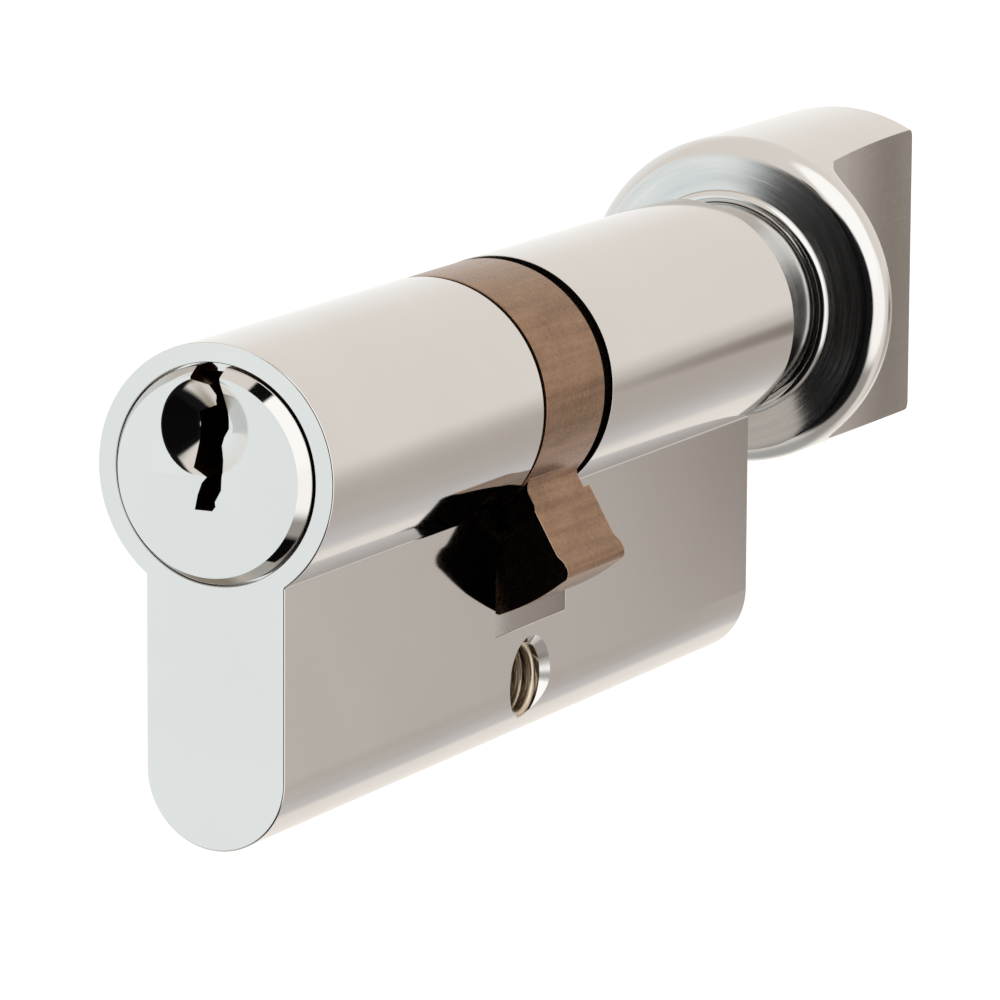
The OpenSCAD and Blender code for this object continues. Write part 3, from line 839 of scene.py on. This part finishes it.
def makeKnob():
    face = boxMm("body")[1].y
    end = face + knob["length"]
    r, rim, root = knob["radius"], face + knob["rimY"], face + knob["rootY"]
    collar = turn["collarRadius"] + 0.05
    lip = arc(knob["lipRadius"], face + knob["lipY"], knob["lipRound"], -90, -8, 8)
    rimRound = knob["rimRound"]
    rounded = arc(r - rimRound, rim + rimRound, rimRound, knob["lean"] - 90, 0, 20)
    backEdge = knob["bladeEdge"]
    section = ([(0, root), (collar, root), (collar, lip[0][1] + 0.05)] + lip + rounded
               + [(r, end - backEdge)] + arc(r - backEdge, end - backEdge, backEdge, 15, 90, 5) + [(0, end)])
    piece = turned("thumbKnob", section, 192)
    back = rim + knob["discThickness"]
    half, fillet, far = knob["bladeHalf"], knob["fillet"], r + 3
    flare, start = knob["bladeFlare"], back + fillet
    side = [(half + flare * (1 - t / 10) ** 2, start + (end - start) * t / 10) for t in range(11)]
    hollow = ([(far, end + 1), (far, back)] + arc(half + flare + fillet, start, fillet, 270, 180, 16)
              + side[1:] + [(half, end + 1)])
    combine(piece, [extruded("right", hollow, -far, far, "Z"),
                    extruded("left", [(-u, v) for u, v in hollow], -far, far, "Z")])
    breakEdges(piece, knob["bladeEdge"], 4, 40, lambda p: p.y > back + 0.8)
    breakEdges(piece, knob["backRound"], 3, 50, lambda p: p.y > back - 0.2 and math.hypot(p.x, p.z) > r - 0.3)
    bore, seat = knob["boreRadius"], face + turn["collarEnd"] + turn["shaftLength"] + 0.5
    hole, grubY = knob["grubHole"], face + turn["grubY"]
    combine(piece, [turned("shaftBore", [(0, root - 1), (bore, root - 1), (bore, seat), (0, seat)], 96),
                    standing("grubHole", [(0, 2), (hole, 2), (hole, r + 1), (0, r + 1)], 0, grubY)])
    markFaces(piece, "faced", lambda c, n: n.y < -0.9 and c.y > face + knob["lipY"] - 0.2)
    finishPiece(piece, knobPlate)
    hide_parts("knob")
    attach(piece, "thumbturn")


makeSpindle()
makeKnob()
print("thumbturn made")


# ---- the CAD pieces whose shape is right keep it, and take a better finish

finishes = {"key_ring": springSteel, "turn_ring": springSteel,
            "clutch": groundSteel, "grub_screw": groundSteel}
for k in range(1, 6):
    finishes[f"key_pin_{k}"] = turnedBrass
    finishes[f"driver_pin_{k}"] = groundSteel
    finishes[f"chamber_plug_{k}"] = turnedBrass
for node, material in finishes.items():
    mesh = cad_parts[node].data
    mesh.materials.clear()
    mesh.materials.append(material)
print("small parts finished")


# ---- camera, light and floor

view = {"yaw": 26.65, "pitch": 10.93, "roll": 0.36, "lens": 253.5, "place": (0.2124, -0.4180, 0.0830)}


def makeCamera():
    yaw, pitch, roll = (math.radians(view[k]) for k in ("yaw", "pitch", "roll"))
    back = Vector((math.sin(yaw) * math.cos(pitch), -math.cos(yaw) * math.cos(pitch), math.sin(pitch)))
    right = Vector((math.cos(yaw), math.sin(yaw), 0))
    up = back.cross(right)
    rolledRight = right * math.cos(roll) + up * math.sin(roll)
    rolledUp = up * math.cos(roll) - right * math.sin(roll)
    data = bpy.data.cameras.new("camera")
    data.lens = view["lens"]
    data.sensor_width = 36.0
    data.clip_start, data.clip_end = 0.01, 20.0
    camera = bpy.data.objects.new("camera", data)
    turnMatrix = Matrix((rolledRight, rolledUp, back)).transposed().to_4x4()
    camera.matrix_world = Matrix.Translation(view["place"]) @ turnMatrix
    bpy.context.scene.collection.objects.link(camera)
    bpy.context.scene.camera = camera


# soft cards of light and shade round the object: bearing from the knob's side towards the right, height,
# inner and outer half width, all in degrees, and colour
cards = [
    {"bearing": -62, "height": 3, "inner": 22, "outer": 50, "colour": (1.06, 1.06, 1.05)},
    {"bearing": 12, "height": -26, "inner": 2, "outer": 11, "colour": (0.70, 0.67, 0.665)},
    {"bearing": 18, "height": -13.5, "inner": 1, "outer": 17, "colour": (0.56, 0.51, 0.47)},
    {"bearing": 21.5, "height": -9, "inner": 1, "outer": 5, "colour": (0.26, 0.223, 0.19)},
    {"bearing": -140, "height": -10, "inner": 32, "outer": 50, "colour": (1.08, 1.145, 1.155)},
    {"bearing": -20, "height": -80, "inner": 10, "outer": 40, "colour": (0.5, 0.5, 0.49)},
    {"bearing": -148, "height": -42, "inner": 10, "outer": 22, "colour": (0.46, 0.41, 0.32)},
    {"bearing": 85, "height": -58, "inner": 18, "outer": 32, "colour": (0.44, 0.41, 0.38)},
    {"bearing": 88, "height": 0, "inner": 28, "outer": 42, "colour": (1.38, 1.36, 1.34)},
    {"bearing": 102, "height": 42, "inner": 33, "outer": 44, "colour": (1.45, 1.44, 1.42)},
    {"bearing": 151, "height": -2, "inner": 32, "outer": 38, "colour": (0.01, 0.01, 0.011)},
    {"bearing": 178, "height": 14, "inner": 15, "outer": 24, "colour": (0.01, 0.01, 0.011)},
    {"bearing": 180, "height": -38, "inner": 16, "outer": 24, "colour": (0.01, 0.01, 0.011)},
    {"bearing": 145, "height": -40, "inner": 22, "outer": 32, "colour": (0.01, 0.01, 0.011)},
]


def heading3d(bearing, height):
    bearing, height = math.radians(bearing), math.radians(height)
    flat = math.cos(height)
    return Vector((math.sin(bearing) * flat, math.cos(bearing) * flat, math.sin(height)))


# small black flags close to the key side, that only its polished faces mirror
flags = {
    "flagLow": {"near": (4.9, -35.5, -4.9), "bearing": 53, "height": -68, "distance": 60, "half": (26, 26)},
    "flagTop": {"near": (3.7, -35.5, 5.9), "bearing": 82, "height": 75, "distance": 60, "half": (11, 11)},
    "flagSide": {"near": (0, -36, -37), "bearing": 144, "height": 0, "distance": 90, "half": (52, 150)},
}


def makeFlags():
    cloth = bpy.data.materials.new("flagCloth")
    cloth.use_nodes = True
    shader = cloth.node_tree.nodes["Principled BSDF"]
    shader.inputs["Base Color"].default_value = (0.004, 0.004, 0.004, 1)
    shader.inputs["Roughness"].default_value = 1.0
    shader.inputs["Specular IOR Level"].default_value = 0.0
    tree = cloth.node_tree
    parts = tree.nodes.new("ShaderNodeSeparateXYZ")
    tree.links.new(tree.nodes.new("ShaderNodeTexCoord").outputs["Object"], parts.inputs[0])
    x, y = (math2(tree, "MULTIPLY", along, along) for along in parts.outputs[:2])
    reach = math2(tree, "SQRT", math2(tree, "ADD", x, y))
    fade = math2(tree, "MULTIPLY", math2(tree, "SUBTRACT", 1.0, reach), 4.0, clamp=True)
    tree.links.new(fade, shader.inputs["Alpha"])
    for name, flag in flags.items():
        aim = heading3d(flag["bearing"], flag["height"])
        across = aim.cross(Vector((0, 0, 1))).normalized()
        upward = across.cross(aim)
        wide, tall = (half / toMm for half in flag["half"])
        card = newPiece(name, [(-1, -1, 0), (1, -1, 0), (1, 1, 0), (-1, 1, 0)], [(0, 1, 2, 3)])
        card.data.materials.append(cloth)
        turnMatrix = Matrix((across * wide, upward * tall, aim * wide)).transposed().to_4x4()
        place = Vector(flag["near"]) + aim * flag["distance"]
        card.matrix_world = Matrix.Translation(place / toMm) @ turnMatrix
        card.visible_camera = False
        card.visible_diffuse = False
        card.visible_shadow = False


room = {"colour": (0.98, 0.925, 0.865), "background": (0.98, 0.98, 0.98)}


def makeWorld():
    world = bpy.data.worlds.new("softRoom")
    bpy.context.scene.world = world
    world.use_nodes = True
    tree = world.node_tree
    lamp = tree.nodes["Background"]
    heading = tree.nodes.new("ShaderNodeTexCoord").outputs["Generated"]
    colour = room["colour"]
    for card in cards:
        aim = heading3d(card["bearing"], card["height"])
        dot = tree.nodes.new("ShaderNodeVectorMath")
        dot.operation = "DOT_PRODUCT"
        tree.links.new(heading, dot.inputs[0])
        dot.inputs[1].default_value = aim
        soft = tree.nodes.new("ShaderNodeMapRange")
        soft.interpolation_type = "SMOOTHSTEP"
        tree.links.new(dot.outputs["Value"], soft.inputs["Value"])
        soft.inputs["From Min"].default_value = math.cos(math.radians(card["outer"]))
        soft.inputs["From Max"].default_value = math.cos(math.radians(card["inner"]))
        colour = blendColour(tree, soft.outputs[0], colour, card["colour"])
    seen = tree.nodes.new("ShaderNodeLightPath").outputs["Is Camera Ray"]
    colour = blendColour(tree, seen, colour, room["background"])
    tree.links.new(colour, lamp.inputs["Color"])


ground = {"half": 6.0, "drop": 0.012, "grey": (0.35, 0.35, 0.35, 1), "glow": 0.78}


def makeFloor():
    size, z = ground["half"], cadLow.z - ground["drop"]
    verts = [(-size, -size, z), (size, -size, z), (size, size, z), (-size, size, z)]
    mesh = bpy.data.meshes.new("floor")
    mesh.from_pydata(verts, [], [(0, 1, 2, 3)])
    floor = bpy.data.objects.new("floor", mesh)
    bpy.context.scene.collection.objects.link(floor)
    material = bpy.data.materials.new("paleFloor")
    material.use_nodes = True
    shader = material.node_tree.nodes["Principled BSDF"]
    shader.inputs["Base Color"].default_value = ground["grey"]
    shader.inputs["Roughness"].default_value = 1.0
    shader.inputs["Specular IOR Level"].default_value = 0.0
    shader.inputs["Emission Color"].default_value = (1.0, 1.0, 1.0, 1)
    shader.inputs["Emission Strength"].default_value = ground["glow"]
    mesh.materials.append(material)
    floor.visible_glossy = False


makeCamera()
makeWorld()
makeFloor()
makeFlags()
bpy.context.scene.view_settings.view_transform = "Standard"
print("camera, light and floor set")
